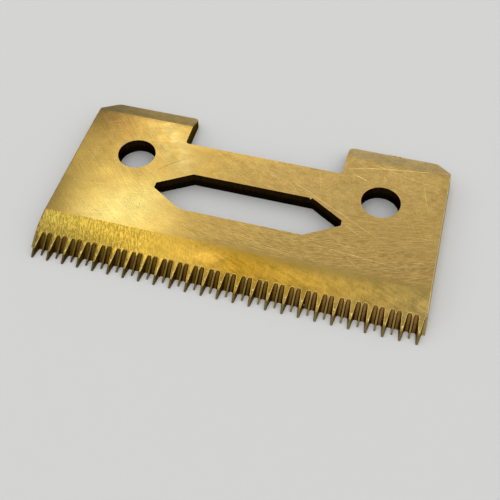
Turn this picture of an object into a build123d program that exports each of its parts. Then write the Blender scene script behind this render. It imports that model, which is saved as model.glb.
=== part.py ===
import os
from math import cos, radians, sin, tan

from build123d import *

os.makedirs("parts", exist_ok=True)

# A fixed blade of a hair clipper, one ground and plated steel plate, in mm.
# X runs across the comb, Y from the tooth tips back to the ears, Z up from the cutter face
# to the skin face. X and Y are 0 midway between the two screw holes, Z is 0 on the cutter face.

# Plate
plate_width = 46.0  # on the skin face
plate_thickness = 2.0
side_draft = 8.0  # lean of the two sides, wider towards the cutter face
tip_reach = 17.06  # hole line to the tips of the long teeth
ear_reach = 9.0  # hole line to the back of the ears

# Two ears with the notch between them
notch_width = 20.24
notch_floor = 3.34  # hole line to the notch's front wall
notch_corner_radius = 0.4
ear_corner_radius = 0.7  # ear corners on the notch side
ear_chamfer_across = 1.98  # outer ear corners, measured along X on the cutter face
ear_chamfer_along = 2.45  # the same, measured along Y
ear_chamfer_radius = 0.6  # where the outer corners' chamfers meet the back of the ears
ear_bevel_length = 2.6
ear_bevel_drop = 1.15

# Screw holes
hole_spacing = 31.0
hole_diameter = 4.75

# Six-sided slot with blunted points
slot_width = 5.7
slot_length = 23.1
slot_flat_length = 15.05
slot_point_width = 0.8
slot_reach = 4.32  # hole line to the slot's middle line

# Skin-side bevel that carries the comb, measured back from the tips of the long teeth
crease_setback = 5.86  # to the crease at the back of the bevel
facet_setback = 0.84  # to the front of the bevel, where the long teeth's front facets begin

# Comb: pairs of gaps with a short tooth inside each pair and a long tooth between pairs
pair_pitch = 1.88
root_setback = 2.97  # tips of the long teeth back to the gap roots on the bevel
short_setback = 0.53  # tips of the long teeth back to the tips of the short ones
grind_angle = 37.8  # slope of the gap floors and of the long teeth's front facets
gap_floor_width = 0.52
gap_corner_radius = 0.175
gap_offset = 0.355  # middle of a gap's floor from the middle of its short tooth
gap_draft = 14.0  # lean of the gap wall beside a long tooth
short_angle = 28.0  # slope of the short teeth's tops
tip_height = 0.05  # blunt end of every tooth
cut_margin = 0.25  # how far cutting shapes stand clear of the steel

half_width = plate_width / 2
half_base = half_width + plate_thickness * tan(radians(side_draft))
half_notch = notch_width / 2

# The bevel falls from the skin face at its crease to the top of the long teeth's front facets.
facet_height = tip_height + facet_setback * tan(radians(grind_angle))
bevel_slope = (plate_thickness - facet_height) / (crease_setback - facet_setback)
root_height = plate_thickness - (crease_setback - root_setback) * bevel_slope
root_reach = tip_reach - root_setback
short_reach = tip_reach - short_setback

# Grinding direction of the comb. Across it, each pair of gaps has a plane of its own, with its
# origin on the bevel at the roots. The plate holds as many whole pairs as its width allows.
# One more pair past each end gives the end teeth their flanks.
grind_direction = (0, -cos(radians(grind_angle)), -sin(radians(grind_angle)))
pair_count = int(plate_width / pair_pitch)
pair_places = [(index - (pair_count - 1) / 2) * pair_pitch for index in range(-1, pair_count + 1)]
grind_planes = [
    Plane(origin=(place, -root_reach, root_height), x_dir=(1, 0, 0), z_dir=grind_direction)
    for place in pair_places
]
short_planes = [Plane.YZ.offset(place) for place in pair_places[1:-1]]

# In such a plane: the top of the long teeth, and a gap's wall beside the short tooth and its leaning
# wall beside the long one.
long_tooth_height = (
    root_setback * sin(radians(grind_angle)) - (root_height - tip_height) * cos(radians(grind_angle))
)
gap_top = long_tooth_height + cut_margin
short_wall_x = gap_offset - gap_floor_width / 2
long_wall_x = gap_offset + gap_floor_width / 2
long_wall_top_x = long_wall_x + gap_top * tan(radians(gap_draft))
grind_length = plate_thickness / sin(radians(grind_angle)) + cut_margin

with BuildPart() as blade:
    # Side profile: ear bevel at the back, flat skin face, comb bevel and front facet.
    with BuildSketch(Plane.YZ):
        with BuildLine():
            Polyline(
                (-tip_reach, 0),
                (ear_reach, 0),
                (ear_reach, plate_thickness - ear_bevel_drop),
                (ear_reach - ear_bevel_length, plate_thickness),
                (-tip_reach + crease_setback, plate_thickness),
                (-tip_reach + facet_setback, facet_height),
                (-tip_reach, tip_height),
                close=True,
            )
        make_face()
    extrude(amount=half_base, both=True)

    # Front profile: sides leaning out towards the cutter face.
    with BuildSketch(Plane.XZ):
        with BuildLine():
            Polyline(
                (-half_base, 0),
                (half_base, 0),
                (half_width, plate_thickness),
                (-half_width, plate_thickness),
                close=True,
            )
        make_face()
    extrude(amount=tip_reach + ear_reach, both=True, mode=Mode.INTERSECT)

    # Plan outline: two ears with chamfered outer corners and the notch between them.
    with BuildSketch() as outline:
        with BuildLine():
            Polyline(
                (0, -tip_reach),
                (half_base, -tip_reach),
                (half_base, ear_reach - ear_chamfer_along),
                (half_base - ear_chamfer_across, ear_reach),
                (half_notch, ear_reach),
                (half_notch, notch_floor),
                (0, notch_floor),
                close=True,
            )
        make_face()
        mirror(about=Plane.YZ)
        ear_corners = outline.vertices().group_by(Axis.Y)[-1]
        fillet(ear_corners.filter_by_position(Axis.X, -half_notch, half_notch), radius=ear_corner_radius)
        chamfer_corners = outline.vertices().group_by(Axis.Y)[-1].sort_by(Axis.X)
        fillet([chamfer_corners[0], chamfer_corners[-1]], radius=ear_chamfer_radius)
        floor_corners = outline.vertices().filter_by_position(Axis.Y, notch_floor, notch_floor)
        fillet(floor_corners, radius=notch_corner_radius)
    extrude(amount=plate_thickness, mode=Mode.INTERSECT)

    # Two screw holes.
    with GridLocations(hole_spacing, 0, 2, 1):
        Hole(radius=hole_diameter / 2)

    # Six-sided slot.
    with BuildSketch():
        with BuildLine():
            Polyline(
                (0, -slot_reach + slot_width / 2),
                (slot_flat_length / 2, -slot_reach + slot_width / 2),
                (slot_length / 2, -slot_reach + slot_point_width / 2),
                (slot_length / 2, -slot_reach - slot_point_width / 2),
                (slot_flat_length / 2, -slot_reach - slot_width / 2),
                (0, -slot_reach - slot_width / 2),
                close=True,
            )
        make_face()
        mirror(about=Plane.YZ)
    extrude(amount=plate_thickness, mode=Mode.SUBTRACT)

    # Gaps: floors with rounded corners, swept down the grinding direction.
    with BuildSketch(*grind_planes) as gaps:
        with BuildLine():
            Polyline(
                (short_wall_x, 0),
                (long_wall_x, 0),
                (long_wall_top_x, gap_top),
                (short_wall_x, gap_top),
                close=True,
            )
        make_face()
        fillet(gaps.vertices().group_by(Axis.Y)[0], radius=gap_corner_radius)
        mirror(about=Plane.YZ)
    extrude(amount=grind_length, both=True, mode=Mode.SUBTRACT)

    # Short teeth: tops sloped from the root, tips set back from the long ones.
    short_run = crease_setback - short_setback
    with BuildSketch(*short_planes):
        with BuildLine():
            Polyline(
                (-short_reach, -cut_margin),
                (-short_reach, tip_height),
                (-short_reach + short_run, tip_height + short_run * tan(radians(short_angle))),
                (-tip_reach - cut_margin, tip_height + short_run * tan(radians(short_angle))),
                (-tip_reach - cut_margin, -cut_margin),
                close=True,
            )
        make_face()
    extrude(amount=gap_offset, both=True, mode=Mode.SUBTRACT)

blade.part.label = "blade"
export_step(blade.part, "parts/blade.step")
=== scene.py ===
import math

import bmesh
import bpy
import numpy as np
from mathutils import Matrix, Vector


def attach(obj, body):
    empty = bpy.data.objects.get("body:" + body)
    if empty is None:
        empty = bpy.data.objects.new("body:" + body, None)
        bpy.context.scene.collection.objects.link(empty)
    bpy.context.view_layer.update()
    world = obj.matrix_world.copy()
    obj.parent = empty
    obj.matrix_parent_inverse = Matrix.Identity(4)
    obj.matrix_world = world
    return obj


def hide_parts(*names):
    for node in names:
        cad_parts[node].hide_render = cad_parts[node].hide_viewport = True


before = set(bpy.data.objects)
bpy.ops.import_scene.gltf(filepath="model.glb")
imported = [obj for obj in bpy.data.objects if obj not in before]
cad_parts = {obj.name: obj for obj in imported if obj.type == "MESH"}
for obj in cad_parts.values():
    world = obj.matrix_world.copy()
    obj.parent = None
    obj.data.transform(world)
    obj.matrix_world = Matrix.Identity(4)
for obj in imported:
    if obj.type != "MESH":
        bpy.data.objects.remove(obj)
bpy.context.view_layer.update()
scene = bpy.context.scene
scene.view_settings.view_transform = "Standard"
mm = 0.001

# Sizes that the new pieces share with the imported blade, in mm. Y is 0 on the line of the holes.
blade = {
    "thickness": 2.0,
    "halfWidth": 23.0,  # on the skin face
    "holeX": 15.5,
    "slotY": -4.32,  # the slot's middle line
    "tipReach": 17.06,  # hole line to the long tips
    "crease": 5.86,  # long tips back to the bevel's crease
    "facet": 0.84,  # long tips back to the bevel's front
    "root": 2.97,  # long tips back to the gap roots
    "short": 0.53,  # long tips back to the short tips
    "grind": math.radians(37.8),
    "shortAngle": math.radians(28.0),
    "tipHeight": 0.05,
    "pitch": 1.88,
    "pairs": 24,
    "shortWall": 0.095,  # a gap's two walls at its floor, from its pair's middle
    "longWall": 0.615,
    "gapCorner": 0.175,
    "lean": math.radians(14.0),  # of the gap walls beside the long teeth
    "sideLean": math.tan(math.radians(8.0)),
}
blade["facetHeight"] = blade["tipHeight"] + blade["facet"] * math.tan(blade["grind"])
blade["slope"] = (blade["thickness"] - blade["facetHeight"]) / (blade["crease"] - blade["facet"])
blade["creaseY"] = blade["crease"] - blade["tipReach"]
blade["rootY"] = blade["root"] - blade["tipReach"]
blade["rootZ"] = blade["thickness"] - (blade["creaseY"] - blade["rootY"]) * blade["slope"]


def node(tree, kind, inputs=None, **settings):
    made = tree.nodes.new("ShaderNode" + kind)
    for key, value in settings.items():
        setattr(made, key, value)
    for key, value in (inputs or {}).items():
        if isinstance(value, bpy.types.NodeSocket):
            tree.links.new(value, made.inputs[key])
        else:
            made.inputs[key].default_value = value
    return made


def calc(tree, operation, *values):
    return node(tree, "Math", dict(enumerate(values)), operation=operation).outputs[0]


# Sum of values, each with its weight.
def total(tree, *parts):
    result = 0.0
    for value, weight in parts:
        result = calc(tree, "MULTIPLY_ADD", value, weight, result)
    return result


def product(tree, first, *others):
    for other in others:
        first = calc(tree, "MULTIPLY", first, other)
    return first


# A noise about its middle, times a gain, on top of a base.
def sway(tree, noise, gain, base):
    return calc(tree, "MULTIPLY_ADD", calc(tree, "SUBTRACT", noise, 0.5), gain, base)


# A soft step: from low to high the value goes over from toLow to toHigh.
def span(tree, value, low, high, toLow=0.0, toHigh=1.0):
    inputs = {0: value, 1: low, 2: high, 3: toLow, 4: toHigh}
    return node(tree, "MapRange", inputs, interpolation_type="SMOOTHSTEP").outputs[0]


# A soft line: 1 at its middle, 0 past its half width.
def seam(tree, value, middle, half):
    return span(tree, calc(tree, "ABSOLUTE", calc(tree, "SUBTRACT", value, middle)), 0.0, half, 1.0, 0.0)


# A soft spot where two such lines cross.
def spotAt(tree, x, y, lineX, lineY):
    return product(tree, seam(tree, x, *lineX), seam(tree, y, *lineY))


def rgba(colour):
    return colour if isinstance(colour, bpy.types.NodeSocket) else (*colour, 1.0)


def blendColour(tree, factor, first, second, mode="MIX"):
    inputs = {0: factor, 6: rgba(first), 7: rgba(second)}
    return node(tree, "Mix", inputs, data_type="RGBA", blend_type=mode).outputs[2]


# A colour times a tint, or part of the way there.
def tinted(tree, colour, tint, share=1.0):
    return blendColour(tree, share, colour, tint, "MULTIPLY")


# One value as a grey colour.
def grey(tree, value):
    return node(tree, "CombineColor", {0: value, 1: value, 2: value}).outputs[0]


def dimmed(tree, colour, level):
    return tinted(tree, colour, grey(tree, level))


# Object coordinates in mm, whole and by axis.
def places(tree):
    coords = node(tree, "TexCoord").outputs["Object"]
    scaled = node(tree, "Mapping", {"Vector": coords, "Scale": (1 / mm, 1 / mm, 1 / mm)}).outputs[0]
    axes = node(tree, "SeparateXYZ", {0: scaled}).outputs
    return scaled, axes[0], axes[1], axes[2]


def cloud(tree, vector, size, detail=3.0, rough=0.55):
    inputs = {"Vector": vector, "Scale": 1 / size, "Detail": detail, "Roughness": rough}
    return node(tree, "TexNoise", inputs).outputs[0]


# Noise drawn out along a direction in the face: turned first, then scaled along and across.
def streaks(tree, vector, angle, along, across, detail=2.0, rough=0.5):
    back = (0, 0, -math.radians(angle))
    stretch = (1 / along, 1 / across, 1 / across)
    turned = node(tree, "Mapping", {"Vector": vector, "Rotation": back}).outputs[0]
    scaled = node(tree, "Mapping", {"Vector": turned, "Scale": stretch}).outputs[0]
    return cloud(tree, scaled, 1.0, detail, rough)


# Noise drawn out along circles: one axis is the distance from the centre, the other the arc's length
# at a middle radius.
def arcStreaks(tree, x, y, centre, along, across, radius=47.0, detail=2.0, rough=0.5):
    dx = calc(tree, "SUBTRACT", x, centre[0])
    dy = calc(tree, "SUBTRACT", centre[1], y)
    away = calc(tree, "SQRT", calc(tree, "MULTIPLY_ADD", dx, dx, product(tree, dy, dy)))
    turn = calc(tree, "ARCTAN2", dx, dy)
    flat = {0: calc(tree, "DIVIDE", away, across), 1: product(tree, turn, radius / along)}
    return cloud(tree, node(tree, "CombineXYZ", flat).outputs[0], 1.0, detail, rough)


# Clouds (size, and detail and roughness where given) and streaks (angle, length, width), each with its
# share at the end.
def mixture(tree, vector, clouds=(), lines=()):
    parts = [(cloud(tree, vector, *shape), share) for *shape, share in clouds]
    parts += [(streaks(tree, vector, *lay), share) for *lay, share in lines]
    return total(tree, *parts)


# Offset along X from the middle of the nearest long tooth.
def fromLong(tree, x):
    turns = calc(tree, "FRACT", calc(tree, "MULTIPLY_ADD", x, 1 / blade["pitch"], 0.5))
    return product(tree, calc(tree, "SUBTRACT", turns, 0.5), blade["pitch"])


# What most finishes share.
grain = {
    "slant": (1.0, 0.91, 0.68),  # reflection at a slant
    "range": (0.34, 0.66),  # where a pattern goes from its dark tone to its light one
    "lines": 0.7,  # share of the marks
    "clouds": (0.5, 0.3),  # size and share of the cloud among them
    "roughRange": (0.3, 0.7),
    "swing": 0.05,  # of the roughness, either way
    "relief": 0.004,
}


# Marks in one direction with a little cloud.
def fineMarks(tree, vector, *lay):
    return mixture(tree, vector, [grain["clouds"]], [(*lay, grain["lines"])])


def twoTone(tree, pattern, dark, light, reach=grain["range"]):
    return blendColour(tree, span(tree, pattern, *reach), dark, light)


def metal(name, build, slant=grain["slant"]):
    made = bpy.data.materials.new(name)
    made.use_nodes = True
    tree = made.node_tree
    tree.nodes.clear()
    shader = node(tree, "BsdfPrincipled", {"Metallic": 1.0, "Specular Tint": rgba(slant)})
    node(tree, "OutputMaterial", {"Surface": shader.outputs[0]})
    build(tree, shader)
    return made


# Colour, roughness and fine relief from one pattern.
def coat(tree, shader, colour, pattern, rough, swing=grain["swing"], relief=grain["relief"]):
    dullness = span(tree, pattern, *grain["roughRange"], rough + swing, rough - swing)
    bump = node(tree, "Bump", {"Strength": 1.0, "Distance": relief * mm, "Height": pattern})
    tree.links.new(colour, shader.inputs["Base Color"])
    tree.links.new(dullness, shader.inputs["Roughness"])
    tree.links.new(bump.outputs[0], shader.inputs["Normal"])


earCrease = {
    "size": 1.3,
    "sway": 1.4,
}


# Y swayed by a cloud, for a ragged edge along the ears' crease.
def raggedCrease(tree, vector, y):
    return sway(tree, cloud(tree, vector, earCrease["size"]), earCrease["sway"], y)


# Lapped skin face: short dashes along wide arcs, crossed by older hairlines, over soft clouds.
# Here and below, a key that ends in X or Y holds a soft step along that axis, from and to, with the
# values there, or a soft line, its middle and half width. One that ends in At holds two such lines.
lapped = {
    "dark": (0.292, 0.184, 0.047),
    "light": (0.505, 0.338, 0.098),
    "range": (0.36, 0.64),
    "rough": 0.20,
    "swing": 0.02,
    "relief": 0.0008,
    "coat": 0.2,
    "coatRough": 0.2,
    "centre": (9.5, 38.0),  # of the arcs
    "frontCentre": (6.4, 25.0),  # of the arcs along the front edge
    "frontY": (-5.5, -7.5),
    "arcs": [(1.4, 0.085), (7.0, 0.07)],  # length and width of the dashes and of longer sweeps
    "cross": [(-30, 4.0, 0.10, 0.6), (38, 3.0, 0.10, 0.4)],
    "clouds": [(0.8, 0.45), (0.25, 0.55)],
    "weights": [(0.42, 0.24), (0.22, 0.12), (0.12, 0.26), (0.24, 0.38)],  # of these four, front and back
    "weightY": (-3.0, 1.0),
    "steep": (-48, 3.0, 0.11),  # streaks towards the left
    "steepX": (-9.0, -16.0, 0.0, 0.7),
    "steepY": (-7.0, -3.0, 0.2, 1.0),
    "forceX": (-12.0, 2.0, 0.34, 1.05),  # of the whole pattern
    "frontForceX": (-10.0, 5.0, -0.2, 0.9),
    "force": 0.95,
    "line": (0.600, 0.430, 0.140),  # pale hairs
    "hairs": [(-35, 9.0, 0.09), (12, 8.0, 0.09)],
    "hairShare": (0.62, 0.76, 0.0, 0.5),
    "shade": (0.318, 0.213, 0.052),  # painted shade along the bevel's crease
    "shadeWide": 1.2,
    "shadeX": (-12.0, 2.0, 0.0, 0.7),
    "leftX": (-23.6, -16.5, 0.80, 1.0),  # painted shade: dimmer at the left edge
    # painted light: a little brighter towards the back
    "backY": (-7.5, 0.0, 0.97, 1.04),
    "holeShadeX": (-7.0, -12.0, 0.0, 0.10),  # painted shade: dimmer round the left hole
    "holeShadeY": (-0.4, 6.5),
    "mottle": (2.4, 2.0),
    "mottleLevel": (0.25, 0.75, 0.96, 1.04),
    "blots": (1.1, 2.0),
    "blotY": (-4.0, 1.0, 0.05, 0.45),
    "creaseY": (5.8, 6.45, 1.0, 0.80),  # painted shade: darker along the ears' crease, softening it
    "spots": [  # painted highlights and shade: soft brighter and duller places; middle, half width along X and Y, gain
        (-12.4, 4.6, 2.4, 2.2, 0.06), (-10.0, 1.0, 1.4, 1.5, 0.08), (-15.0, 3.9, 2.0, 1.6, -0.08),
        (-18.2, -3.6, 2.4, 2.0, 0.08), (-14.8, -2.9, 3.0, 2.2, -0.15), (-1.5, 2.4, 8.0, 2.8, 0.13),
        (2.5, -7.8, 8.0, 2.2, 0.08), (-22.2, 5.6, 6.0, 4.4, -0.42), (-22.3, -0.8, 3.0, 3.8, 0.20),
        (-23.2, -8.6, 2.8, 5.5, -0.27), (-12.8, 1.8, 0.6, 0.6, -0.12), (-13.6, 4.3, 1.1, 0.9, 0.12),
        (-12.4, 3.3, 1.0, 0.9, 0.12), (-11.4, 5.3, 1.0, 0.9, 0.10), (-18.2, -3.4, 1.3, 1.1, 0.12),
        (-14.6, 6.3, 1.3, 0.9, -0.18), (-10.6, 4.1, 1.0, 1.0, -0.14), (-14.0, 2.6, 1.0, 0.8, -0.11),
        (-10.8, 6.2, 1.3, 0.9, 0.15), (-18.5, -10.3, 1.6, 1.1, 0.12), (-18.8, -6.2, 2.8, 2.4, -0.07),
        (-11.6, -4.4, 0.9, 0.9, -0.14), (2.9, 1.2, 1.6, 1.2, 0.10), (-1.0, 3.5, 14.0, 1.3, 0.12),
        (23.2, 2.5, 1.8, 3.8, -0.13),
    ],
    "warm": (1.0, 0.97, 0.72),  # tint towards the left
    "warmX": (8.0, -12.0),
    "pale": (1.0, 1.17, 1.55),  # painted highlight: a paler tint on a patch at the front left that rises to the right
    "paleRise": 0.45,
    "paleAt": [(-14.0, 8.5), (-2.3, 6.5)],
    "backHighlight": (1.14, 1.30, 1.95),  # painted highlight: a paler tint in broken clouds along a belt at the back left
    "backHighlightTurn": (0.80, 0.60),  # direction across the belt
    "backHighlightAt": [(-7.5, 3.0), (-8.0, 9.0)],  # across and along it
    "backHighlightCloud": (1.7, 3.0, 0.6),
    "backHighlightBreak": (0.30, 0.58),
    "russet": (1.0, 0.88, 0.85),  # tint of the left ear's outer part
    "russetAt": [(-19.3, 4.5), (4.8, 5.2)],
    "wave": 0.5,  # of the mottle in the relief, more on the left ear
    "waveX": (-13.5, 6.0),
    "waveY": (0.0, 3.5, 0.0, 3.5),
}


# Dashes, sweeps, crossing lines and clouds. Towards the back the first two fade and the others take over.
def lappedPattern(tree, vector, x, y):
    inFront = span(tree, y, *lapped["frontY"])
    parts = []
    for lay in lapped["arcs"]:
        behind = arcStreaks(tree, x, y, lapped["centre"], *lay)
        ahead = arcStreaks(tree, x, y, lapped["frontCentre"], *lay)
        parts.append(node(tree, "Mix", {0: inFront, 2: behind, 3: ahead}).outputs[0])
    parts.append(mixture(tree, vector, lines=lapped["cross"]))
    parts.append(mixture(tree, vector, clouds=lapped["clouds"]))
    weights = [span(tree, y, *lapped["weightY"], *change) for change in lapped["weights"]]
    steepness = product(tree, span(tree, x, *lapped["steepX"]), span(tree, y, *lapped["steepY"]))
    steep = streaks(tree, vector, *lapped["steep"])
    pattern = sway(tree, steep, steepness, total(tree, *zip(parts, weights)))
    stronger = product(tree, inFront, span(tree, x, *lapped["frontForceX"]))
    force = product(tree, span(tree, x, *lapped["forceX"]), calc(tree, "ADD", stronger, lapped["force"]))
    return sway(tree, pattern, force, 0.5)


# Level of the lapped face: random mottle and blots, with painted shade at the left edge, round the left hole
# and along the ears' crease, painted light towards the back, and painted highlights and shade in soft spots.
def lappedLevel(tree, vector, x, y, mottle):
    holeShade = product(tree, seam(tree, y, *lapped["holeShadeY"]), span(tree, x, *lapped["holeShadeX"]))
    blots = cloud(tree, vector, *lapped["blots"])
    uneven = span(tree, mottle, *lapped["mottleLevel"])
    level = product(
        tree,
        span(tree, x, *lapped["leftX"]),
        calc(tree, "SUBTRACT", 1.0, holeShade),
        sway(tree, blots, span(tree, y, *lapped["blotY"]), uneven),
        span(tree, y, *lapped["backY"]),
        span(tree, raggedCrease(tree, vector, y), *lapped["creaseY"]),
    )
    for spotX, spotY, wide, deep, gain in lapped["spots"]:
        spot = spotAt(tree, x, y, (spotX, wide), (spotY, deep))
        level = product(tree, level, calc(tree, "MULTIPLY_ADD", spot, gain, 1.0))
    return level


def lappedTints(tree, vector, x, y, colour):
    rising = total(tree, (y, 1.0), (x, -lapped["paleRise"]))
    right, back = lapped["backHighlightTurn"]
    across = total(tree, (x, right), (y, back))
    along = total(tree, (x, back), (y, -right))
    belt = spotAt(tree, across, along, *lapped["backHighlightAt"])
    broken = span(tree, cloud(tree, vector, *lapped["backHighlightCloud"]), *lapped["backHighlightBreak"])
    colour = tinted(tree, colour, lapped["warm"], span(tree, x, *lapped["warmX"]))
    # painted highlight at the front left
    colour = tinted(tree, colour, lapped["pale"], spotAt(tree, x, rising, *lapped["paleAt"]))
    # painted highlight in broken clouds at the back left
    colour = tinted(tree, colour, lapped["backHighlight"], product(tree, belt, broken))
    return tinted(tree, colour, lapped["russet"], spotAt(tree, x, y, *lapped["russetAt"]))


def lappedFace(tree, shader):
    vector, x, y = places(tree)[:3]
    mottle = cloud(tree, vector, *lapped["mottle"])
    pattern = lappedPattern(tree, vector, x, y)
    colour = twoTone(tree, pattern, lapped["dark"], lapped["light"], lapped["range"])
    hairs = calc(tree, "MAXIMUM", *[streaks(tree, vector, *lay) for lay in lapped["hairs"]])
    colour = blendColour(tree, span(tree, hairs, *lapped["hairShare"]), colour, lapped["line"])
    # painted shade along the bevel's crease, growing towards the right
    edge = seam(tree, y, blade["creaseY"], lapped["shadeWide"])
    edge = product(tree, edge, span(tree, x, *lapped["shadeX"]))
    colour = blendColour(tree, edge, colour, lapped["shade"])
    colour = dimmed(tree, colour, lappedLevel(tree, vector, x, y, mottle))
    colour = lappedTints(tree, vector, x, y, colour)
    more = product(tree, seam(tree, x, *lapped["waveX"]), span(tree, y, *lapped["waveY"]))
    surface = sway(tree, mottle, calc(tree, "ADD", more, lapped["wave"]), pattern)
    shader.inputs["Coat Weight"].default_value = lapped["coat"]
    shader.inputs["Coat Roughness"].default_value = lapped["coatRough"]
    coat(tree, shader, colour, surface, lapped["rough"], lapped["swing"], lapped["relief"])


# Ground bevel: marks along Y at the left, smooth, then blotched, then a dull olive end.
band = {
    "stops": [  # from the left side to the right one
        (0.00, (0.490, 0.358, 0.066)),
        (0.18, (0.478, 0.316, 0.041)),
        (0.44, (0.470, 0.280, 0.042)),
        (0.53, (0.390, 0.214, 0.017)),
        (0.74, (0.462, 0.282, 0.043)),
        (1.00, (0.448, 0.312, 0.092)),
    ],
    "duller": (0.72, 0.73, 0.76),  # tints of the pattern
    "brighter": (1.28, 1.27, 1.24),
    "range": (0.32, 0.68),
    "rough": 0.25,
    "relief": 0.003,
    "groundLines": [(106, 0.9, 0.15, 0.65)],
    "groundClouds": [(0.16, 0.35)],
    "groundX": (-12.5, -8.0, 1.5, 0.35),
    "blotLines": [(-22, 2.2, 0.22, 0.32)],
    "blotClouds": [(1.5, 3.0, 0.6, 0.5), (0.22, 0.18)],
    "blotX": (-7.0, 0.0, 0.2, 1.25),
    "shade": (0.350, 0.212, 0.026),  # painted shade along the crease, left and right
    "shadeRight": (0.340, 0.250, 0.066),
    "shadeX": (-2.0, 14.0),
    "edgeSway": 1.6,
    "edgeWide": 1.3,
    "edgeX": (-10.0, 1.0, 0.1, 0.8),
    "edgeEndX": (10.0, 19.0, 1.0, 0.5),
    "roll": (0.08, 0.055, 0.012),  # painted shade: darker towards the comb at the left
    "rollX": (-15.0, -9.0, 0.45, 0.0),
    "rollY": (-12.0, -14.2),
    "swellX": (-8.0, -3.0, 0.0, 0.20),  # painted highlight: brighter along the middle
    "swellEndX": (13.0, 19.0, 1.0, 0.2),
    "swellY": (-12.95, 1.5),
    "frontX": (9.0, -12.0, 0.08, 0.30),  # dimmer towards the tips
    "frontY": (-14.3, -15.0),
    "roots": [  # painted highlight and shade near the gap roots, by Y and X: brighter at the left and dimmer at the right
        [(-14.25, 0.5), (-4.0, -12.0, 0.0, 0.26)],
        [(-13.95, 0.7), (-6.0, 4.0, 0.0, -0.05)],
    ],
    "crown": (-0.22, 0.08, 0.42, 1.25),  # painted shade and highlight: level across a strip between the gaps
    "crownX": (2.0, -9.0),
    "crownFrom": (0.1, -0.2),  # along Y, from the gap roots
}


# Painted light on the bevel: a highlight along the middle, dimmer towards the tips, and highlight and shade
# near the gap roots.
def bandLevel(tree, x, y):
    swell = product(tree, span(tree, x, *band["swellX"]), span(tree, x, *band["swellEndX"]))
    front = product(tree, span(tree, y, *band["frontY"]), span(tree, x, *band["frontX"]))
    root = total(tree, *[(seam(tree, y, *line), span(tree, x, *step)) for line, step in band["roots"]])
    return product(
        tree,
        calc(tree, "MULTIPLY_ADD", seam(tree, y, *band["swellY"]), swell, 1.0),
        calc(tree, "SUBTRACT", 1.0, front),
        calc(tree, "ADD", root, 1.0),
    )


def groundBand(tree, shader):
    vector, x, y = places(tree)[:3]
    along = node(tree, "MapRange", {0: x, 1: -blade["halfWidth"], 2: blade["halfWidth"]}).outputs[0]
    hue = node(tree, "ValToRGB", {0: along})
    stops = hue.color_ramp.elements
    for stop, (place, colour) in zip(stops, (band["stops"][0], band["stops"][-1])):
        stop.position = place
        stop.color = rgba(colour)
    for place, colour in band["stops"][1:-1]:
        stops.new(place).color = rgba(colour)
    marks = mixture(tree, vector, band["groundClouds"], band["groundLines"])
    blots = mixture(tree, vector, band["blotClouds"], band["blotLines"])
    pattern = sway(tree, marks, span(tree, x, *band["groundX"]), 0.5)
    pattern = sway(tree, blots, span(tree, x, *band["blotX"]), pattern)
    tone = twoTone(tree, pattern, band["duller"], band["brighter"], band["range"])
    colour = tinted(tree, hue.outputs[0], tone)
    # painted shade along the crease
    edge = product(
        tree,
        seam(tree, sway(tree, blots, band["edgeSway"], y), blade["creaseY"], band["edgeWide"]),
        span(tree, x, *band["edgeX"]),
        span(tree, x, *band["edgeEndX"]),
    )
    shade = twoTone(tree, x, band["shade"], band["shadeRight"], band["shadeX"])
    colour = blendColour(tree, edge, colour, shade)
    # painted shade towards the comb at the left
    roll = product(tree, span(tree, y, *band["rollY"]), span(tree, x, *band["rollX"]))
    colour = blendColour(tree, roll, colour, band["roll"])
    colour = dimmed(tree, colour, bandLevel(tree, x, y))
    # painted shade and highlight as on crowned strips between the gaps, their left flanks darker towards the
    # left
    crown = grey(tree, span(tree, fromLong(tree, x), *band["crown"]))
    strips = span(tree, y, *[blade["rootY"] + step for step in band["crownFrom"]])
    colour = tinted(tree, colour, crown, product(tree, strips, span(tree, x, *band["crownX"])))
    coat(tree, shader, colour, pattern, band["rough"], relief=band["relief"])


# Ear bevels: darker at the left as painted shade, paler at the right, ground along Y.
ear = {
    "left": (0.374, 0.252, 0.061),
    "right": (0.482, 0.331, 0.119),
    "sidesX": (-10.0, 10.0),
    # painted shade: dimmer further out at the left
    "outerX": (-23.0, -15.0, 0.55, 1.0),
    "dull": (0.380, 0.293, 0.126),  # a greyed patch of the right ear
    "dullX": (15.8, 2.2),
    "dullShare": (0.3, 0.55, 0.9, 0.3),
    "creaseY": (6.9, 6.3, 1.0, 1.18),  # painted highlight: paler along the crease, softening it
    "backY": (7.2, 8.7, 0.94, 1.12),
    "lines": [(80, 1.0, 0.2, 0.4)],
    "clouds": [(1.0, 0.6)],
    "tone": (0.36, 0.64, 0.84, 1.16),
    "slant": (1.0, 0.97, 0.84),  # reflection at a slant
    "rough": 0.34,
    "relief": 0.002,
}


def groundEar(tree, shader):
    vector, x, y = places(tree)[:3]
    marks = mixture(tree, vector, ear["clouds"], ear["lines"])
    colour = twoTone(tree, x, ear["left"], ear["right"], ear["sidesX"])
    colour = dimmed(tree, colour, span(tree, x, *ear["outerX"]))
    dull = product(tree, seam(tree, x, *ear["dullX"]), span(tree, marks, *ear["dullShare"]))
    colour = blendColour(tree, dull, colour, ear["dull"])
    ragged = raggedCrease(tree, vector, y)
    level = product(
        tree,
        span(tree, ragged, *ear["creaseY"]),
        span(tree, ragged, *ear["backY"]),
        span(tree, marks, *ear["tone"]),
    )
    coat(tree, shader, dimmed(tree, colour, level), marks, ear["rough"], relief=ear["relief"])


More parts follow.
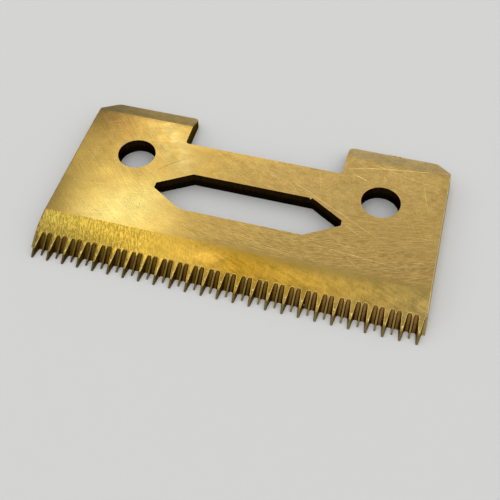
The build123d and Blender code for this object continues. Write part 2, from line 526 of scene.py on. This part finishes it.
# Gap floors: brown, paler down the middle of each as a painted reflection and darker at the sides as painted
# shade, with marks down the grind.
gap = {
    "side": (0.072, 0.039, 0.0075),
    "middle": (0.148, 0.088, 0.023),
    "streak": (0.02, 0.22),
    "left": (1.04, 0.98, 0.50),  # tints at the left and right of the comb
    "right": (1.75, 1.62, 1.85),
    "tintX": (-2.0, 20.0),
    "depthY": (-15.7, -14.1, 0.62, 1.22),
    "tone": (0.75, 1.25),
    "marks": (90, 1.6, 0.07),
    "rough": 0.36,
    "flank": (0.330, 0.195, 0.042),  # of the teeth
    "deep": (0.095, 0.060, 0.016),  # painted shade past the floors' front edges
    "deepLean": 0.87,
    "deepY": (-15.85, -15.35),
    "flankMarks": (90, 1.0, 0.07),
    "flankRough": 0.40,
}


def gapFloor(tree, shader):
    vector, x, y = places(tree)[:3]
    half = blade["pitch"] / 2
    middle = (blade["shortWall"] + blade["longWall"]) / 2
    fromPair = calc(tree, "SUBTRACT", half, calc(tree, "PINGPONG", x, half))
    off = calc(tree, "ABSOLUTE", calc(tree, "SUBTRACT", fromPair, middle))
    marks = fineMarks(tree, vector, *gap["marks"])
    # painted reflection down the middle, painted shade at the sides
    colour = twoTone(tree, off, gap["middle"], gap["side"], gap["streak"])
    tint = twoTone(tree, x, gap["left"], gap["right"], gap["tintX"])
    tone = span(tree, marks, *grain["range"], *gap["tone"])
    colour = dimmed(tree, tinted(tree, colour, tint), product(tree, span(tree, y, *gap["depthY"]), tone))
    coat(tree, shader, colour, marks, gap["rough"])


def gapFlank(tree, shader):
    vector, _, y, z = places(tree)
    marks = fineMarks(tree, vector, *gap["flankMarks"])
    # painted shade on the flanks past the floors' front edges
    reach = calc(tree, "MULTIPLY_ADD", z, gap["deepLean"], y)
    colour = twoTone(tree, reach, gap["deep"], gap["flank"], gap["deepY"])
    colour = dimmed(tree, colour, span(tree, marks, *grain["range"], *gap["tone"]))
    coat(tree, shader, colour, marks, gap["flankRough"])


# Cut walls: dark as painted shade, brown under the skin face and darker below, with upright marks.
wall = {
    "slotWall": [(0.030, 0.018, 0.005), (0.010, 0.008, 0.005), (0.40, 0.30, 0.16)],  # upper, lower, slant
    "notchWall": [(0.095, 0.070, 0.026), (0.058, 0.043, 0.016), (0.46, 0.39, 0.26)],
    "change": (0.85, 1.25),  # heights
    "changeSway": 0.7,
    "stretch": (7, 7, 0.8),
    "upright": 0.6,  # share of the marks
    "cloud": (0.35, 0.4),  # size, share
    "tone": (0.3, 0.7, 0.65, 1.35),
    "rough": 0.42,
    "swing": 0.08,
    "relief": 0.008,
}


def cutWall(name):
    upper, lower, slant = wall[name]

    def build(tree, shader):
        vector, _, _, z = places(tree)
        upright = node(tree, "Mapping", {"Vector": vector, "Scale": wall["stretch"]}).outputs[0]
        size, share = wall["cloud"]
        marks = total(tree, (cloud(tree, upright, 1.0), wall["upright"]), (cloud(tree, vector, size), share))
        height = sway(tree, marks, wall["changeSway"], z)
        colour = twoTone(tree, height, lower, upper, wall["change"])
        colour = dimmed(tree, colour, span(tree, marks, *wall["tone"]))
        coat(tree, shader, colour, marks, wall["rough"], wall["swing"], wall["relief"])
    return metal(name, build, slant)


# Ground or cut metal. A row has its dark and light tone, roughness, and the marks' angle, length and
# width. A change, where given, makes another colour of the two tones by place.
plain = {
    "cutterFace": [(0.34, 0.225, 0.068), (0.47, 0.320, 0.105), 0.27, 3, 5.0, 0.14],
    "sideWall": [(0.240, 0.165, 0.055), (0.360, 0.255, 0.090), 0.36, 90, 0.8, 0.2],
    "endFlank": [(0.310, 0.230, 0.080), (0.415, 0.310, 0.118), 0.36, 90, 1.0, 0.08],
}


def groundMetal(name, table, change=None):
    dark, light, rough, *lay = table[name]

    def build(tree, shader):
        vector, x, y = places(tree)[:3]
        marks = fineMarks(tree, vector, *lay)
        colour = twoTone(tree, marks, dark, light)
        if change:
            colour = change(tree, x, y, colour)
        coat(tree, shader, colour, marks, rough)
    return metal(name, build)


# Tooth ends: dimmer at the left of the comb and towards the tips.
tooth = {
    "longFacet": [(0.165, 0.119, 0.030), (0.232, 0.170, 0.049), 0.35, 90, 0.8, 0.06],
    "shortTop": [(0.200, 0.136, 0.036), (0.288, 0.199, 0.056), 0.35, 90, 0.8, 0.06],
    "levels": {"longFacet": (0.76, 1.26, 0.95), "shortTop": (0.76, 1.30, 0.78)},  # left, right, tip
    "acrossX": (-16.0, 16.0),
    "tipY": (-16.6, -15.0),
    "rootY": (-14.9, -14.4, 1.0, 1.5),
}


def toothMetal(name):
    left, right, tip = tooth["levels"][name]

    def change(tree, x, y, colour):
        across = span(tree, x, *tooth["acrossX"], left, right)
        along = product(tree, span(tree, y, *tooth["tipY"], tip, 1.0), span(tree, y, *tooth["rootY"]))
        return dimmed(tree, colour, product(tree, across, along))
    return groundMetal(name, tooth, change)


finishes = [
    metal("lappedFace", lappedFace),
    metal("groundBand", groundBand),
    metal("groundEar", groundEar, ear["slant"]),
    cutWall("slotWall"),
    metal("gapFloor", gapFloor),
    toothMetal("longFacet"),
    groundMetal("cutterFace", plain),
    toothMetal("shortTop"),
    metal("gapFlank", gapFlank),
    groundMetal("sideWall", plain),
    groundMetal("endFlank", plain),
    cutWall("notchWall"),
]
finishNumber = {made.name: number for number, made in enumerate(finishes)}
print("finishes ready:", len(finishes))

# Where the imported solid's faces change finish, in mm.
sorting = {
    "weld": 1e-7,  # m
    "flat": math.radians(0.2),  # faces are joined up to this angle
    "sharp": math.radians(35),  # edges within a finish are sharp from this angle
    "near": 0.02,  # to a plane or a direction
    "combY": -13.6,
    "endX": 22.85,
    "sideX": 22.9,
    "notch": (10.5, 2.9),
    "backY": 8.28,
    "chamferX": 21.0,
    "rounded": ["slotWall", "gapFloor", "gapFlank", "sideWall", "notchWall"],
}


# The finish of each face, from its middle in mm and the direction that it faces.
def sortFaces(x, y, z, nx, ny, nz):
    finish = np.full(len(x), finishNumber["slotWall"])

    def dress(name, faces):
        finish[faces] = finishNumber[name]

    fromTip = y + blade["tipReach"]
    longPlane = blade["facetHeight"] + (fromTip - blade["facet"]) * math.tan(blade["grind"])
    shortPlane = blade["tipHeight"] + (fromTip - blade["short"]) * math.tan(blade["shortAngle"])
    bevelTilt = math.sin(math.atan(blade["slope"]))
    comb = y < sorting["combY"]
    square = np.abs(nx) < sorting["near"]
    upright = np.abs(nz) < 0.5
    outside = (np.abs(x) > sorting["sideX"]) & (nz > 0.1) & (np.abs(ny) < 0.01)
    chamfer = (np.abs(x) > sorting["chamferX"]) & (ny > 0.3)
    notchX, notchY = sorting["notch"]
    dress("gapFloor", comb & (nz > -0.5))
    dress("gapFlank", comb & (np.abs(nx) > 0.8))
    dress("endFlank", comb & (np.abs(x) > sorting["endX"]) & (nz > 0.05))
    dress("longFacet", comb & square & (np.abs(z - longPlane) < sorting["near"]))
    dress("longFacet", comb & (ny < -0.99))
    dress("shortTop", comb & square & (np.abs(z - shortPlane) < sorting["near"]) & (nz > 0.8))
    dress("groundBand", (np.abs(ny + bevelTilt) < sorting["near"]) & (nz > 0.95))
    dress("groundEar", (ny > 0.3) & (nz > 0.85))
    dress("lappedFace", nz > 0.999)
    dress("cutterFace", nz < -0.99)
    dress("sideWall", outside & (np.abs(nx) > 0.95))
    dress("notchWall", upright & (y > notchY) & (np.abs(x) < notchX))
    dress("sideWall", upright & ((y > sorting["backY"]) | chamfer))
    return finish


# The blade's body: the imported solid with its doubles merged, each face sorted to its finish.
def bladeBody(source):
    work = bmesh.new()
    work.from_mesh(source.data)
    bmesh.ops.remove_doubles(work, verts=work.verts, dist=sorting["weld"])
    bmesh.ops.dissolve_limit(work, angle_limit=sorting["flat"], verts=work.verts, edges=work.edges)
    mesh = bpy.data.meshes.new("bladeBody")
    work.to_mesh(mesh)
    work.free()
    for spare in ("custom_normal", "sharp_edge", "sharp_face"):
        if spare in mesh.attributes:
            mesh.attributes.remove(mesh.attributes[spare])
    count = len(mesh.polygons)
    normals = np.empty(count * 3, np.float32)
    middles = np.empty(count * 3, np.float32)
    mesh.polygons.foreach_get("normal", normals)
    mesh.polygons.foreach_get("center", middles)
    finish = sortFaces(*(middles.reshape(-1, 3).T / mm), *normals.reshape(-1, 3).T)
    rounded = [finishNumber[name] for name in sorting["rounded"]]
    mesh.polygons.foreach_set("material_index", finish.astype(np.int32))
    mesh.polygons.foreach_set("use_smooth", np.isin(finish, rounded))
    for made in finishes:
        mesh.materials.append(made)
    # sharp between finishes, except from a gap's floor to its flanks, and at sharp turns
    gapPair = {finishNumber["gapFloor"], finishNumber["gapFlank"]}
    work = bmesh.new()
    work.from_mesh(mesh)
    for edge in work.edges:
        pair = edge.link_faces
        if len(pair) == 2:
            kinds = {pair[0].material_index, pair[1].material_index}
            same = len(kinds) == 1 or kinds == gapPair
            edge.smooth = same and edge.calc_face_angle(0.0) < sorting["sharp"]
    work.to_mesh(mesh)
    work.free()
    return bpy.data.objects.new("bladeBody", mesh)


body = bladeBody(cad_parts["blade"])
scene.collection.objects.link(body)
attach(body, "root")
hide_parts("blade")
print("body faces:", len(body.data.polygons))

skin = {
    "weld": 1e-8,  # m
    "sharp": math.radians(100),  # a ridge's feet are sharp, its crest isn't
}


# A piece of closed skins, points (skins, rows, columns, 3) in mm: each row is a ring, and the first
# and last ring of a skin are merged to points. One finish for all.
def skinPiece(name, points, finish):
    skins, rows, columns = points.shape[:3]
    here = np.arange(skins * rows * columns).reshape(skins, rows, columns)
    around = np.roll(here, -1, axis=2)
    faces = np.stack([here[:, :-1], around[:, :-1], around[:, 1:], here[:, 1:]], axis=-1).reshape(-1, 4)
    mesh = bpy.data.meshes.new(name)
    mesh.from_pydata((points.reshape(-1, 3) * mm).tolist(), [], faces.tolist())
    work = bmesh.new()
    work.from_mesh(mesh)
    bmesh.ops.remove_doubles(work, verts=work.verts, dist=skin["weld"])
    for edge in work.edges:
        edge.smooth = edge.calc_face_angle(0.0) < skin["sharp"]
    work.to_mesh(mesh)
    work.free()
    mesh.polygons.foreach_set("use_smooth", np.ones(len(mesh.polygons), bool))
    mesh.materials.append(finish)
    made = bpy.data.objects.new(name, mesh)
    scene.collection.objects.link(made)
    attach(made, "root")
    print(name, "faces:", len(mesh.polygons))


# Grinding coordinates to the blade's frame: s runs down the grind, h stands up from it.
def ground(x, s, h):
    down, up = math.sin(blade["grind"]), math.cos(blade["grind"])
    return np.stack([x, blade["rootY"] - up * s - down * h, blade["rootZ"] - down * s + up * h], axis=-1)


# A tube along each path, points P(q, a) = path(q) + r(q)(cos a aside - sin a up), that comes to a point
# over a few rows at each end.
def tubes(paths, radius, columns=6, endRows=2.0):
    along = np.gradient(paths, axis=1)
    along /= np.linalg.norm(along, axis=2, keepdims=True)
    aside = np.cross(along, (0, 0, 1))
    aside /= np.linalg.norm(aside, axis=2, keepdims=True)
    up = np.cross(aside, along)
    turn = np.linspace(0, 2 * np.pi, columns, endpoint=False)[:, None]
    ring = np.cos(turn) * aside[:, :, None] - np.sin(turn) * up[:, :, None]
    rows = np.arange(paths.shape[1])
    ends = np.minimum(np.minimum(rows, rows[::-1]) / endRows, 1.0)
    return paths[:, :, None] + (radius * ends)[:, None, None] * ring


# Rounded lips of the gaps: bright, partly as a painted highlight on their rounding, with painted shade on
# the left flanks of the teeth at the left.
lip = {
    "radius": 0.042,
    "front": 0.052,  # where the lips of a long tooth draw together
    "frontFrom": 0.3,  # height above the gap's floor
    "lift": 0.012,
    "inset": 0.034,  # how far the lip's middle stands back from the edge
    "nearest": 0.045,  # to the middle of a short tooth
    "past": 0.15,  # how far outside the plate's width a lip may reach
    "arcRows": 9,
    "riseRows": 12,
    "brightEdge": [(0.610, 0.450, 0.120), (0.830, 0.655, 0.215), 0.22, 20, 0.7, 0.22],
    # painted shade on the left flanks
    "dull": (0.200, 0.140, 0.035),
    "flank": (0.02, -0.06),  # from the middle of a long tooth
    "flankX": (0.0, -12.0, 0.0, 0.85),
}


# The gap's outline (x, h), two arcs and a leaning rise, laid on the bevel, where s = h / tan(turn).
def gapLips(middles, skip):
    lean = blade["lean"]
    turn = math.tan(blade["grind"] - math.atan(blade["slope"]))
    tipDrop = blade["rootZ"] - blade["tipHeight"]
    top = blade["root"] * math.sin(blade["grind"]) - tipDrop * math.cos(blade["grind"])
    corner = blade["gapCorner"] + lip["inset"]
    shortX = blade["shortWall"] + blade["gapCorner"]
    longX = blade["longWall"] - blade["gapCorner"] * math.tan((math.pi / 2 - lean) / 2)
    first = np.linspace(math.pi, 1.5 * math.pi, lip["arcRows"])
    second = np.linspace(1.5 * math.pi, 2 * math.pi - lean, lip["arcRows"])
    firstX = np.maximum(shortX + corner * np.cos(first), lip["nearest"])
    secondX = longX + corner * np.cos(second)
    arcH = blade["gapCorner"] + corner * np.sin(np.concatenate([first, second]))
    rise = np.linspace(arcH[-1], top, lip["riseRows"])[1:]
    riseX = secondX[-1] + (rise - arcH[-1]) * math.tan(lean)
    x = np.concatenate([firstX, secondX, riseX])[skip:]
    h = np.concatenate([arcH, rise])[skip:]
    across = np.concatenate([middles[:, None] + x, middles[:, None] - x])
    across = across[np.abs(across).max(axis=1) < blade["halfWidth"] + lip["past"]]
    s, raised = np.broadcast_to(h / turn, across.shape), np.broadcast_to(h + lip["lift"], across.shape)
    thick = np.interp(h, [lip["frontFrom"], top], [lip["radius"], lip["front"]])
    return tubes(ground(across, s, raised), thick)


def shadedFlanks(tree, x, y, colour):
    flank = product(tree, span(tree, fromLong(tree, x), *lip["flank"]), span(tree, x, *lip["flankX"]))
    return blendColour(tree, flank, colour, lip["dull"])


brightEdge = groundMetal("brightEdge", lip, shadedFlanks)
pairMiddles = (np.arange(blade["pairs"]) - (blade["pairs"] - 1) / 2) * blade["pitch"]
endMiddles = np.array([-1, 1]) * (blade["pairs"] + 1) / 2 * blade["pitch"]
skinPiece("gapLips", gapLips(pairMiddles, 0), brightEdge)
skinPiece("endLips", gapLips(endMiddles, lip["arcRows"]), brightEdge)

# Rounded lines along the two sides, on the skin face and thicker along the bevel: bright, partly as a
# painted highlight, and darker at the left as painted shade.
sideLine = {
    "face": 0.035,
    "bevel": 0.060,
    "back": 6.2,
    "rootClear": 0.1,
    "faceRows": 40,
    "bevelRows": 14,
    "inset": 0.012,
    "sink": 0.010,
    "uneven": (0.25, 5.3, 2.1),  # share of the thickness, and two waves along Y
    "sideEdgeHighlightAndShade": [(0.600, 0.450, 0.160), (0.820, 0.640, 0.260), 0.28, 90, 0.8, 0.3],
    # painted shade on the left side
    "left": (0.230, 0.155, 0.040),
    "leftX": (1.0, -1.0),
}


# Along Y: x = half width + lean x drop, z = thickness - drop, where drop is 0 on the face and grows down
# the bevel.
def sideLines():
    faceY = np.linspace(sideLine["back"], blade["creaseY"], sideLine["faceRows"])
    front = blade["rootY"] + sideLine["rootClear"]
    bevelY = np.linspace(blade["creaseY"], front, sideLine["bevelRows"])[1:]
    y = np.concatenate([faceY, bevelY])
    drop = np.maximum(blade["creaseY"] - y, 0.0) * blade["slope"]
    x = blade["halfWidth"] + drop * blade["sideLean"] - sideLine["inset"]
    z = blade["thickness"] - drop - sideLine["sink"]
    share, firstWave, secondWave = sideLine["uneven"]
    thick = np.where(y < blade["creaseY"], sideLine["bevel"], sideLine["face"])
    thick = thick * (1 + share * np.sin(y * firstWave) * np.sin(y * secondWave))
    right = np.stack([x, y, z], axis=-1)
    return tubes(np.stack([right, right * (-1, 1, 1)]), thick)


def shadedLeft(tree, x, y, colour):
    return blendColour(tree, span(tree, x, *sideLine["leftX"]), colour, sideLine["left"])


skinPiece("sideLines", sideLines(), groundMetal("sideEdgeHighlightAndShade", sideLine, shadedLeft))

# Scratches: low ridges along bent lines, given by their width and their points (x, y) on the skin face.
scratch = {
    "height": 0.008,
    "ringAcross": (-1, 0, 1, 0),  # foot, crest, foot and root, by the half width and the height
    "ringUp": (-0.2, 1, -0.2, -1),
    "uneven": (0.3, 31),  # share of the width, and its wave
    "bend": (0.02, 9),  # sideways, and its wave
    "rows": 40,
    "paleLine": [(0.55, 0.390, 0.133), (0.74, 0.540, 0.204), 0.27, 30, 0.6, 0.2],
    "darkLine": [(0.24, 0.152, 0.040), (0.32, 0.208, 0.056), 0.30, 30, 0.6, 0.2],
    "bright": [
        (0.160, [(10.4, 4.4), (15.3, 5.45), (20.8, 6.25)]),
        (0.090, [(11.7, 6.2), (15.3, 5.4), (18.9, 4.5), (22.5, 3.8)]),
        (0.170, [(11.4, 3.65), (13.6, 2.85)]),
        (0.085, [(3.0, 1.4), (7.2, -0.75), (9.3, -1.95), (11.6, -3.1), (13.6, -4.2), (16.6, -5.8)]),
        (0.080, [(11.85, -4.35), (14.2, -5.8)]),
        (0.050, [(20.1, 3.9), (21.1, 0.1)]),
        (0.080, [(15.1, 4.4), (15.6, 3.3)]),
        (0.050, [(7.4, 3.0), (8.15, 0.1)]),
        (0.075, [(8.3, -8.1), (16.2, -8.8), (19.2, -9.0)]),
        (0.110, [(20.6, -7.95), (21.8, -7.65)]),
        (0.040, [(14.4, -6.7), (18.5, -5.4), (22.6, -4.0)]),
        (0.045, [(0.3, 2.6), (2.4, 0.4)]),
        (0.060, [(-13.5, -1.8), (-12.2, -2.7)]),
        (0.050, [(1.4, 1.6), (3.2, 0.05)]),
        (0.045, [(2.3, -0.35), (4.7, 1.2)]),
        (0.045, [(3.8, 0.7), (5.8, -1.25)]),
        (0.045, [(10.4, 1.4), (12.5, 0.05)]),
        (0.040, [(18.0, -3.5), (22.7, -1.3)]),
        (0.060, [(19.4, -4.3), (22.7, -4.1)]),
        (0.040, [(9.6, -7.45), (14.4, -7.5)]),
    ],
    "dark": [
        (0.090, [(-12.2, -2.0), (-10.6, -0.3), (-9.2, 0.8)]),
        (0.050, [(-13.3, 2.3), (-12.3, 1.4)]),
    ],
}


# A ridge on the skin face along each path (x, y): a four-sided ring w(q) wide, from a low crest to a
# root under the face, that shrinks to a point at both ends as the root of sin(pi q).
def ridges(paths, widths):
    q = np.linspace(0, 1, paths.shape[1])
    swell = np.sqrt(np.abs(np.sin(np.pi * q)))
    share, wave = scratch["uneven"]
    half = 0.5 * widths[:, None] * swell * (1 + share * np.sin(wave * q + paths[:, :1, 1]))
    run = np.gradient(paths, axis=1)
    run /= np.linalg.norm(run, axis=2, keepdims=True)
    across = np.stack([run[..., 1], -run[..., 0]], axis=-1)[:, :, None] * half[:, :, None, None]
    plan = paths[:, :, None] + across * np.array(scratch["ringAcross"])[:, None]
    height = blade["thickness"] + scratch["height"] * swell[:, None] * scratch["ringUp"]
    return np.concatenate([plan, np.broadcast_to(height, plan.shape[:3])[..., None]], axis=-1)


# Even steps along each scratch's points, bent a little by a sine.
def scratchLines(lines):
    q = np.linspace(0, 1, scratch["rows"])
    bend, wave = scratch["bend"]
    paths = []
    for width, points in lines:
        points = np.array(points)
        reach = np.r_[0, np.cumsum(np.linalg.norm(np.diff(points, axis=0), axis=1))]
        x = np.interp(q * reach[-1], reach, points[:, 0])
        y = np.interp(q * reach[-1], reach, points[:, 1]) + bend * np.sin(wave * q + points[0, 0])
        paths.append(np.stack([x, y], axis=-1))
    return ridges(np.array(paths), np.array([width for width, points in lines]))


# Hairlines: straight, along the lapping arcs or across them, kept where they miss every opening.
hair = {
    "pale": {"seed": 3, "tries": 700, "left": -22.5, "backShare": 1.0},
    "dark": {"seed": 8, "tries": 220, "left": -7.0, "backShare": 0.35},
    "thinLine": [(0.46, 0.315, 0.096), (0.62, 0.435, 0.142), 0.25, 30, 0.6, 0.2],
    "right": 22.5,
    "middleY": (-11.0, 6.2),
    "frontY": -6.5,  # the front arcs hold in front of this
    "rows": 10,
    "length": (1.0, 5.5),
    "width": (0.022, 0.050),
    "arcStray": 0.05,  # radians
    "across": [-31, -70, 14, 38],  # degrees
    "acrossStray": 7,
    "arcShare": ([-7, -6, -2, 0], [0.9, 0.65, 0.65, 0.3]),  # of lines along the arcs, by Y
    "keepX": ([-10, -4], [0.55, 1.0]),
    "keepY": [-3, 0],
    "edgeX": 22.85,  # edges and openings, with some room
    "creaseRoom": 0.1,
    "backY": 6.25,
    "hole": 2.5,
    "slot": ([7.5, 11.55, 11.6], [2.95, 0.5, -9.0]),  # half width by X
    "notch": (10.25, 3.25),
}


# Whether each point lies on the skin face, clear of its edges and openings.
def onFace(x, y):
    notchX, notchY = hair["notch"]
    clear = (np.abs(x) < hair["edgeX"]) & (y > blade["creaseY"] + hair["creaseRoom"]) & (y < hair["backY"])
    clear &= np.hypot(np.abs(x) - blade["holeX"], y) > hair["hole"]
    clear &= np.abs(y - blade["slotY"]) > np.interp(np.abs(x), *hair["slot"])
    return clear & ((np.abs(x) > notchX) | (y < notchY))


# Each line is its middle plus (cos turn, sin turn) times an even reach to both sides.
def hairLines(seed, tries, left, backShare):
    chance = np.random.default_rng(seed)
    x = chance.uniform(left, hair["right"], tries)
    y = chance.uniform(*hair["middleY"], tries)
    centre = np.where((y < hair["frontY"])[:, None], lapped["frontCentre"], lapped["centre"]).T
    lay = np.arctan2(x - centre[0], centre[1] - y) + chance.normal(0, hair["arcStray"], tries)
    other = np.radians(chance.choice(hair["across"], tries) + chance.normal(0, hair["acrossStray"], tries))
    turn = np.where(chance.random(tries) < np.interp(y, *hair["arcShare"]), lay, other)
    reach = chance.uniform(*hair["length"], tries)[:, None] * np.linspace(-0.5, 0.5, hair["rows"])
    lineX = x[:, None] + np.cos(turn)[:, None] * reach
    lineY = y[:, None] + np.sin(turn)[:, None] * reach
    share = np.interp(x, *hair["keepX"]) * np.interp(y, hair["keepY"], [1.0, backShare])
    keep = onFace(lineX, lineY).all(axis=1) & (chance.random(tries) < share)
    return ridges(np.stack([lineX, lineY], axis=-1)[keep], chance.uniform(*hair["width"], tries)[keep])


darkLine = groundMetal("darkLine", scratch)
skinPiece("scratches", scratchLines(scratch["bright"]), groundMetal("paleLine", scratch))
skinPiece("darkScratches", scratchLines(scratch["dark"]), darkLine)
skinPiece("hairLines", hairLines(**hair["pale"]), groundMetal("thinLine", hair))
skinPiece("darkHairLines", hairLines(**hair["dark"]), darkLine)

# Burrs on the edges, and painted glints: bright lumps on the front of the long teeth's strips, where the
# lips draw together; the first glint of each tooth is a long one.
burr = {
    "edge": [  # middle, half sizes
        ((7.25, -1.55, 1.97), (0.13, 0.12, 0.05)),
        ((15.45, 8.95, 0.90), (0.36, 0.11, 0.05)),
        ((16.25, 8.96, 0.90), (0.42, 0.13, 0.05)),
        ((9.80, -15.85, 0.93), (0.05, 0.09, 0.06)),
    ],
    "burr": [(0.50, 0.380, 0.180), (0.70, 0.560, 0.300), 0.30, 40, 0.2, 0.1],
    "glint": [(0.85, 0.690, 0.230), (0.97, 0.840, 0.350), 0.16, 40, 0.2, 0.1],
    "lump": (0.18, 3, 7),  # share of the size, waves around, turn by place
    "seed": 5,
    "perTooth": 3,
    "size": (0.022, 0.050),
    "form": (1.0, 1.7, 0.8),
    "glintY": [-16.15, -15.2],
    "stray": [0.05, 0.12],  # sideways, at these two places
    "long": (0.064, 0.220, 0.034),  # half sizes of the long bead
    "longSize": (0.7, 1.2),
    "longX": 0.04,
    "longY": ([-22, -6, 6, 22], [-15.55, -15.35, -15.35, -15.85]),  # its place along the comb
    "longStray": 0.06,
}


# Balls x = cos a cos b, y = sin a cos b, z = sin b, times their half sizes, with lumps round their sides.
def lumps(middles, sizes, rows=7, columns=10):
    up = np.linspace(-np.pi / 2, np.pi / 2, rows)[:, None]
    around = np.linspace(0, 2 * np.pi, columns, endpoint=False)
    flat = np.cos(up)
    ball = np.stack([np.cos(around) * flat, np.sin(around) * flat, np.sin(up) + 0 * around], axis=-1)
    share, waves, byPlace = burr["lump"]
    uneven = 1 + share * np.sin(waves * around + byPlace * middles[:, 0, None, None]) * flat
    return middles[:, None, None] + sizes[:, None, None] * ball * uneven[..., None]


def toothGlints():
    chance = np.random.default_rng(burr["seed"])
    longTeeth = (np.arange(blade["pairs"] + 1) - blade["pairs"] / 2) * blade["pitch"]
    teeth = np.repeat(longTeeth, burr["perTooth"])
    count = len(teeth)
    y = chance.uniform(*burr["glintY"], count)
    x = teeth + chance.uniform(-1, 1, count) * np.interp(y, burr["glintY"], burr["stray"])
    size = chance.uniform(*burr["size"], count)[:, None] * burr["form"]
    first = np.arange(count) % burr["perTooth"] == 0
    y[first] = np.interp(longTeeth, *burr["longY"]) + chance.normal(0, burr["longStray"], len(longTeeth))
    x[first] = longTeeth + burr["longX"]
    size[first] = np.array(burr["long"]) * chance.uniform(*burr["longSize"], len(longTeeth))[:, None]
    z = blade["thickness"] - (blade["creaseY"] - y) * blade["slope"]
    return lumps(np.stack([x, y, z], axis=-1), size)


# A short bright arc on the rim of the left hole.
rim = {
    "turn": (135, 168),  # degrees
    "rows": 12,
    "radius": 2.40,
    "height": 1.995,
    "thick": 0.05,
    "rimGlint": [(0.40, 0.340, 0.300), (0.52, 0.455, 0.420), 0.30, 40, 0.2, 0.1],
}


# x = hole + r cos a, y = r sin a, at one height.
def rimGlint():
    turn = np.radians(np.linspace(*rim["turn"], rim["rows"]))
    x = rim["radius"] * np.cos(turn) - blade["holeX"]
    y = rim["radius"] * np.sin(turn)
    arc = np.stack([x, y, np.full(rim["rows"], rim["height"])], axis=-1)
    return tubes(arc[None], np.full(rim["rows"], rim["thick"]))


edgeMiddles, edgeSizes = np.array(burr["edge"]).transpose(1, 0, 2)
skinPiece("rimGlint", rimGlint(), groundMetal("rimGlint", rim))
skinPiece("edgeBurrs", lumps(edgeMiddles, edgeSizes), groundMetal("burr", burr))
skinPiece("toothGlints", toothGlints(), groundMetal("glint", burr))

# Pale floor, in m.
paleFloor = {
    "half": 3.0,
    "drop": 0.00002,
    "colour": (0.78, 0.78, 0.77, 1),
    "rough": 0.9,
}
half = paleFloor["half"]
floorMesh = bpy.data.meshes.new("floor")
floorMesh.from_pydata(
    [(-half, -half, 0), (half, -half, 0), (half, half, 0), (-half, half, 0)], [], [(0, 1, 2, 3)]
)
floor = bpy.data.objects.new("floor", floorMesh)
scene.collection.objects.link(floor)
floor.location.z = -paleFloor["drop"]
floorLook = bpy.data.materials.new("paleFloor")
floorLook.use_nodes = True
floorShader = floorLook.node_tree.nodes["Principled BSDF"]
floorShader.inputs["Base Color"].default_value = paleFloor["colour"]
floorShader.inputs["Roughness"].default_value = paleFloor["rough"]
floorMesh.materials.append(floorLook)

# World: even soft light by direction, dimmer from the front and low down, brighter from the back and the
# left, with a dark flag at the left.
studio = {
    "frontY": (-0.75, 0.35, 0.8, 1.0),
    "backY": (0.54, 0.76, 1.0, 1.35),
    "leftX": (-0.32, 0.10, 1.16, 0.88),
    "lowZ": (0.1, 0.5),
    "lowX": (-0.34, -0.04, 0.25, 0.6),  # level low down
    "flagX": [(-0.33, -0.46), (-0.75, -0.58)],  # its two edges
    "flag": -0.7,
}


def softStudio():
    world = bpy.data.worlds.new("softStudio")
    scene.world = world
    world.use_nodes = True
    tree = world.node_tree
    tree.nodes.clear()
    x, y, z = node(tree, "SeparateXYZ", {0: node(tree, "TexCoord").outputs["Generated"]}).outputs
    flag = product(tree, *[span(tree, x, *edge) for edge in studio["flagX"]])
    level = product(
        tree,
        span(tree, y, *studio["frontY"]),
        span(tree, y, *studio["backY"]),
        span(tree, x, *studio["leftX"]),
        span(tree, z, *studio["lowZ"], span(tree, x, *studio["lowX"]), 1.0),
        calc(tree, "MULTIPLY_ADD", flag, studio["flag"], 1.0),
    )
    sky = node(tree, "Background", {"Color": (1, 1, 1, 1), "Strength": level})
    node(tree, "OutputWorld", {"Surface": sky.outputs[0]})


softStudio()

# Softboxes: what each aims at in mm, its azimuth and elevation in degrees, size in m, power and colour.
lamps = {
    "keyLeft": [(-13.3, -10.0, 2.0), 31.0, 50.0, (0.080, 0.050), 0.054, (0.92, 1.0, 1.05)],
    "keyBack": [(-11.8, 4.6, 2.0), 23.7, 44.0, (0.045, 0.035), 0.012, (1, 1, 1)],
    "topLeft": [(-12.5, -12.5, 1.7), 74.0, 70.5, (0.20, 0.14), 0.088, (1, 1, 1)],
}


def softbox(name, aim, azimuth, elevation, size, power, colour, distance=0.6):
    lamp = bpy.data.lights.new(name, "AREA")
    lamp.shape = "RECTANGLE"
    lamp.size, lamp.size_y = size
    lamp.energy = power
    lamp.color = colour
    made = bpy.data.objects.new(name, lamp)
    scene.collection.objects.link(made)
    turn, rise = math.radians(azimuth), math.radians(elevation)
    away = Vector((-math.sin(turn) * math.cos(rise), math.cos(turn) * math.cos(rise), math.sin(rise)))
    made.location = Vector(aim) * mm + away * distance
    made.rotation_euler = away.to_track_quat("Z", "Y").to_euler()


for name, settings in lamps.items():
    softbox(name, *settings)
print("floor, world and lamps ready:", len(lamps))

# Camera at the photo's angle, places in mm.
view = {
    "place": (17.298, -62.907, 75.235),
    "aim": (2.2583, -10.8578, 2.0),
    "roll": -0.924,  # degrees
    "lens": 57.297,
    "sensor": 36.0,
    "near": 0.005,  # m
}
lens = bpy.data.cameras.new("camera")
lens.lens = view["lens"]
lens.sensor_width = view["sensor"]
lens.clip_start = view["near"]
camera = bpy.data.objects.new("camera", lens)
scene.collection.objects.link(camera)
look = (Vector(view["aim"]) - Vector(view["place"])).to_track_quat("-Z", "Y").to_matrix().to_4x4()
roll = Matrix.Rotation(math.radians(view["roll"]), 4, "Z")
camera.matrix_world = Matrix.Translation(Vector(view["place"]) * mm) @ look @ roll
scene.camera = camera
print("camera ready")
